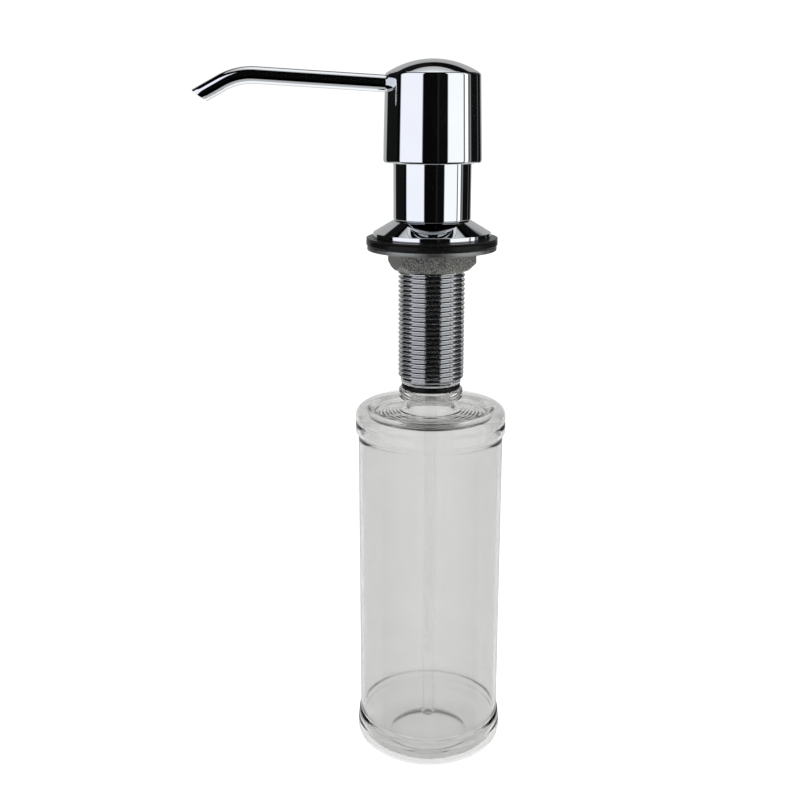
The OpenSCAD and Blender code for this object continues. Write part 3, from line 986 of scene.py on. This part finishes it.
class DISPENSER_OT_stage(Operator):
    """Build the pale floor, the soft studio light and the camera"""

    bl_idname = "dispenser.stage"
    bl_label = "Stage"

    def execute(self, context):
        sizes = context.scene.dispenser_stage
        scene = context.scene
        lens = bpy.data.cameras.new("camera")
        lens.lens = sizes.lens
        lens.sensor_width = 36
        lens.clip_start, lens.clip_end = 0.01, 50
        camera = bpy.data.objects.new("camera", lens)
        camera.location = (-sizes.aside, -sizes.distance, sizes.height)
        camera.rotation_euler = (math.pi / 2 - sizes.tilt, 0, 0)
        scene.collection.objects.link(camera)
        scene.camera = camera

        bm = bmesh.new()
        bmesh.ops.create_grid(bm, x_segments=8, y_segments=8, size=15)
        mesh = bpy.data.meshes.new("floor")
        bm.to_mesh(mesh)
        bm.free()
        floor = bpy.data.objects.new("floor", mesh)
        floor.location.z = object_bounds()[0].z - sizes.below
        scene.collection.objects.link(floor)
        tone = tone_of("floor")
        mesh.materials.append(
            surface("painted_floor", {"IOR": 1.5, "Specular IOR Level": 0.1}, (300, 2),
                    (shade(tone, 0.99), tone), (0.85, 0.95), (0.1, 0.1))
        )
        floor.visible_glossy = False
        floor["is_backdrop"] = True
        self.light(scene)
        scene.view_settings.view_transform = "Standard"
        scene.view_settings.look = "None"
        return {"FINISHED"}

    def light(self, scene):
        """A studio painted by direction: tall soft panels, a wide top light and dark walls.

        Mirror finishes see the painted studio, all others an even white light, and what
        stands behind the dispenser is plain white.
        """
        world = bpy.data.worlds.new("soft_studio")
        scene.world = world
        world.use_nodes = True
        tree = world.node_tree
        tree.nodes.clear()
        where = put(tree, "ShaderNodeTexCoord")
        axes = put(tree, "ShaderNodeSeparateXYZ", {"Vector": (where, "Generated")})
        facing = put(tree, "ShaderNodeMath", {0: (axes, "Y"), 1: -1.0}, operation="MULTIPLY")
        bearing = put(tree, "ShaderNodeMath", {0: (axes, "X"), 1: (facing, 0)}, operation="ARCTAN2")
        turn = put(
            tree, "ShaderNodeMapRange",
            {"Value": (bearing, 0), "From Min": -math.pi, "From Max": math.pi},
        )
        climb = put(tree, "ShaderNodeMath", {0: (axes, "Z")}, operation="ARCSINE")
        height = put(
            tree, "ShaderNodeMapRange",
            {"Value": (climb, 0), "From Min": -math.pi / 2, "From Max": math.pi / 2},
        )

        def bands(edges, source, soft=0.6, span=360.0):
            """A ramp of flat bands from (upper limit in degrees, value) pairs with soft edges."""
            values, low = [], -span / 2
            for high, value in edges:
                first = low + (soft if low > -span / 2 else 0)
                values += [(0.5 + first / span, value), (0.5 + (high - soft) / span, value)]
                low = high
            ramp = put(tree, "ShaderNodeValToRGB", {"Fac": source})
            stops(ramp, values)
            return ramp

        # Tall panels on both sides of the front, with narrow strips to the right
        cool, mild = (0.8, 0.8, 0.85, 1), (0.85, 0.86, 0.86, 1)
        panels = bands(
            [(-92, 0.006), (-83, 0.002), (-25.5, cool), (9, 0.002), (13.5, 0.01), (34, 0.003),
             (75.5, mild), (79.5, 0.1), (89.5, 1.0), (96, 0.1), (99, 0.22), (127, 0.004),
             (131, 0.08), (180, 0.003)],
            (turn, 0), soft=0.5,
        )
        # A dim wall behind, and a grey glow low down at the sides and behind
        back = put(tree, "ShaderNodeValToRGB", {"Fac": (turn, 0)})
        stops(back, [(0, 0.3), (0.115, 0.3), (0.118, 0.0), (0.9, 0.0), (0.915, 0.05), (0.93, 0.3)])
        below = bands([(-84, 0.42), (84, 0.0), (180, 0.42)], (turn, 0), soft=4.0)
        panel_rise = bands([(-17, 0.0), (48, 1.0), (90, 0.0)], (height, 0), span=180.0, soft=1.0)
        back_rise = put(tree, "ShaderNodeValToRGB", {"Fac": (height, 0)})
        stops(back_rise, [(0.389, 0.0), (0.422, 1.0), (0.686, 1.0), (0.697, 0.0)])
        below_rise = bands([(-17, 1.0), (90, 0.0)], (height, 0), span=180.0, soft=3.0)

        def disc(centre, values):
            """A round light about a direction, from (cosine of the angle to it, value) pairs."""
            near = put(
                tree, "ShaderNodeVectorMath", {0: (where, "Generated"), 1: centre},
                operation="DOT_PRODUCT",
            )
            ramp = put(tree, "ShaderNodeValToRGB", {"Fac": (near, "Value")})
            stops(ramp, values)
            return ramp

        top = disc((0, 0.19, 0.982), [(0.868, 0.0), (0.88, 0.36), (0.94, 0.5), (0.985, 0.8)])
        ground = disc((0, 0.1, -0.995), [(0.72, 0.0), (0.735, 0.34), (0.95, 0.42)])
        studio = put(
            tree, "ShaderNodeVectorMath", {0: (top, "Color"), 1: (ground, "Color")}, operation="ADD"
        )
        for wall, rise in ((panels, panel_rise), (back, back_rise), (below, below_rise)):
            studio = put(
                tree, "ShaderNodeVectorMath",
                {0: (wall, "Color"), 1: (rise, "Color"), 2: (studio, "Vector")},
                operation="MULTIPLY_ADD",
            )
        path = put(tree, "ShaderNodeLightPath")
        # Reflections inside clear plastic are veiled in grey, so its edges stay soft.
        inside = put(
            tree, "ShaderNodeMath", {0: (path, "Transmission Depth"), 1: 0.5},
            operation="GREATER_THAN",
        )
        veil = put(tree, "ShaderNodeMath", {0: (inside, 0), 1: 0.8}, operation="MULTIPLY")
        inner = put(
            tree, "ShaderNodeMix",
            {"Factor": (veil, 0), 6: (studio, "Vector"), 7: (0.58, 0.58, 0.58, 1)},
            data_type="RGBA",
        )
        through = put(
            tree, "ShaderNodeMix", {"Factor": 0.08, 6: (1, 1, 1, 1), 7: (studio, "Vector")},
            data_type="RGBA",
        )
        mirrored = put(tree, "ShaderNodeBackground", {"Color": (inner, 2), "Strength": 1.7})
        # The even light is stronger from the right.
        side = put(
            tree, "ShaderNodeMapRange",
            {"Value": (axes, "X"), "From Min": -1.0, "To Min": 0.5, "To Max": 2.3},
        )
        even = put(tree, "ShaderNodeBackground", {"Color": (1, 1, 1, 1), "Strength": (side, 0)})
        seen = put(tree, "ShaderNodeBackground", {"Color": (1, 1, 1, 1), "Strength": 1.05})
        refracted = put(tree, "ShaderNodeBackground", {"Color": (through, 2), "Strength": 1.05})
        light = even
        for ray, shown in (
            ("Is Glossy Ray", mirrored), ("Is Transmission Ray", refracted), ("Is Camera Ray", seen)
        ):
            light = put(
                tree, "ShaderNodeMixShader", {"Fac": (path, ray), 1: (light, 0), 2: (shown, 0)}
            )
        put(tree, "ShaderNodeOutputWorld", {"Surface": (light, 0)})


class DISPENSER_PT_sidebar(Panel):
    """Lists the steps that build the dispenser"""

    bl_idname = "DISPENSER_PT_sidebar"
    bl_label = "Deck Soap Dispenser"
    bl_space_type = "VIEW_3D"
    bl_region_type = "UI"
    bl_category = "Dispenser"

    def draw(self, context):
        for step in STEPS_IN_ORDER:
            self.layout.operator(step.bl_idname)
        for name in SETTINGS:
            box = self.layout.box()
            group = getattr(context.scene, name)
            for key in group.__annotations__:
                box.prop(group, key)


STEPS_IN_ORDER = (
    DISPENSER_OT_head,
    DISPENSER_OT_spout,
    DISPENSER_OT_collar,
    DISPENSER_OT_gaskets,
    DISPENSER_OT_shank,
    DISPENSER_OT_bottle,
    DISPENSER_OT_spring,
    DISPENSER_OT_pump,
    DISPENSER_OT_stage,
)


def register():
    """Registers the settings, the steps and the panel."""
    for name, group in SETTINGS.items():
        bpy.utils.register_class(group)
        setattr(bpy.types.Scene, name, PointerProperty(type=group))
    for item in (*STEPS_IN_ORDER, DISPENSER_PT_sidebar):
        bpy.utils.register_class(item)


def unregister():
    """Removes what register() added."""
    for item in reversed((*STEPS_IN_ORDER, DISPENSER_PT_sidebar)):
        bpy.utils.unregister_class(item)
    for name, group in SETTINGS.items():
        delattr(bpy.types.Scene, name)
        bpy.utils.unregister_class(group)


def main():
    """Builds every piece and the stage."""
    register()
    for step in STEPS_IN_ORDER:
        group, call = step.bl_idname.split(".")
        getattr(getattr(bpy.ops, group), call)()


if __name__ == "__main__":
    main()
